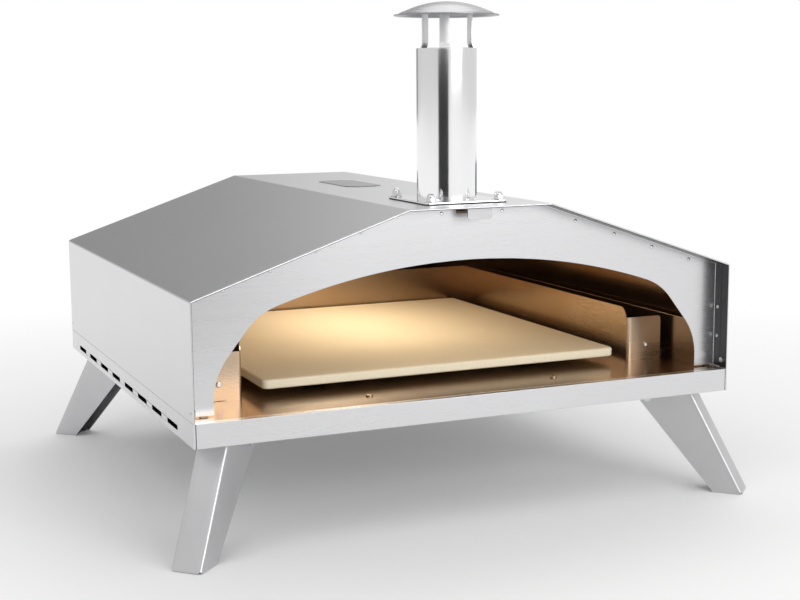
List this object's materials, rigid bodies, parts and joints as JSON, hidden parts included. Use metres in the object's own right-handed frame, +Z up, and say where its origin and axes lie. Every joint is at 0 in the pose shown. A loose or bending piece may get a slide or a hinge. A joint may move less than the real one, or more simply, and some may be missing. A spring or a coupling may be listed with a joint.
{
  "type": "wood fired pizza oven",
  "caption": "Portable wood fired pizza oven: gabled double-wall steel shell, arched mouth, baking stone, three-sided fire trough, capped flue with sliding damper, folding legs.",
  "frame": {"origin": "on the ground, below the middle of the oven", "axes": "+X to the right seen from the mouth, +Y to the back, +Z up"},
  "size_m": [0.653, 0.623, 0.529],
  "materials": {
    "brushed_shell": "satin",
    "brushed_panel": "satin",
    "leg_steel": "satin",
    "plain_steel": "satin",
    "bolt_steel": "satin",
    "cap_steel": "satin",
    "polished_steel": "polished",
    "tinted_steel": "satin",
    "sooted_steel": "matte",
    "baking_stone": "matte",
    "fibre_blanket": "matte",
    "flue_gasket": "matte",
    "black_badge": "gloss"
  },
  "bodies": {
    "oven": {"base_pan": "brushed_shell", "floor_plate": "tinted_steel", "front_stiffener": "plain_steel", "rear_stiffener": "plain_steel", "outer_shell": "brushed_shell", "front_panel": "brushed_panel", "rear_panel": "brushed_panel", "inner_liner": "tinted_steel", "rear_liner": "tinted_steel", "insulation_blanket": "fibre_blanket", "rear_insulation": "fibre_blanket", "left_side_shield": "tinted_steel", "right_side_shield": "tinted_steel", "rear_shield": "tinted_steel", "left_baffle": "tinted_steel", "right_baffle": "tinted_steel", "rear_baffle": "tinted_steel", "left_fuel_grate": "sooted_steel", "right_fuel_grate": "sooted_steel", "rear_fuel_grate": "sooted_steel", "left_stone_rail": "sooted_steel", "right_stone_rail": "sooted_steel", "flue_collar": "sooted_steel", "left_damper_guide": "plain_steel", "right_damper_guide": "plain_steel", "flue_gasket": "flue_gasket", "flue_flange": "polished_steel", "flue_pipe": "polished_steel", "cap_strut_right": "plain_steel", "cap_strut_rear": "plain_steel", "cap_strut_front": "plain_steel", "flue_cap": "cap_steel", "flange_bolts": "bolt_steel", "name_plate": "black_badge", "front_rivets": "bolt_steel", "rear_rivets": "bolt_steel", "side_rivets": "bolt_steel", "edge_screws": "bolt_steel", "floor_screws": "bolt_steel", "baffle_screws": "bolt_steel", "bracket_front_left": "plain_steel", "bracket_front_right": "plain_steel", "bracket_rear_left": "plain_steel", "bracket_rear_right": "plain_steel", "pin_front_left": "bolt_steel", "pin_front_right": "bolt_steel", "pin_rear_left": "bolt_steel", "pin_rear_right": "bolt_steel", "bracket_screws": "bolt_steel"},
    "stone": {"pizza_stone": "baking_stone"},
    "damper": {"damper_plate": "plain_steel"},
    "front_left_leg": {"leg_front_left": "leg_steel"},
    "front_right_leg": {"leg_front_right": "leg_steel"},
    "rear_left_leg": {"leg_rear_left": "leg_steel"},
    "rear_right_leg": {"leg_rear_right": "leg_steel"}
  },
  "joints": [
    {"name": "damper_slide", "type": "slide", "parent": "oven", "child": "damper", "axis": [0, -1, 0], "range_m": [0, 0.065]},
    {"name": "stone_slide", "type": "slide", "parent": "oven", "child": "stone", "axis": [0, -1, 0], "range_m": [0, 0.45]},
    {"name": "front_left_leg_fold", "type": "hinge", "parent": "oven", "child": "front_left_leg", "pos_m": [-0.24077, -0.22577, 0.102], "axis": [0.7071, -0.7071, 0], "range_deg": [0, 126]},
    {"name": "front_right_leg_fold", "type": "hinge", "parent": "oven", "child": "front_right_leg", "pos_m": [0.24077, -0.22577, 0.102], "axis": [0.7071, 0.7071, 0], "range_deg": [0, 126]},
    {"name": "rear_left_leg_fold", "type": "hinge", "parent": "oven", "child": "rear_left_leg", "pos_m": [-0.24077, 0.22577, 0.102], "axis": [-0.7071, -0.7071, 0], "range_deg": [0, 126]},
    {"name": "rear_right_leg_fold", "type": "hinge", "parent": "oven", "child": "rear_right_leg", "pos_m": [0.24077, 0.22577, 0.102], "axis": [-0.7071, 0.7071, 0], "range_deg": [0, 126]}
  ]
}
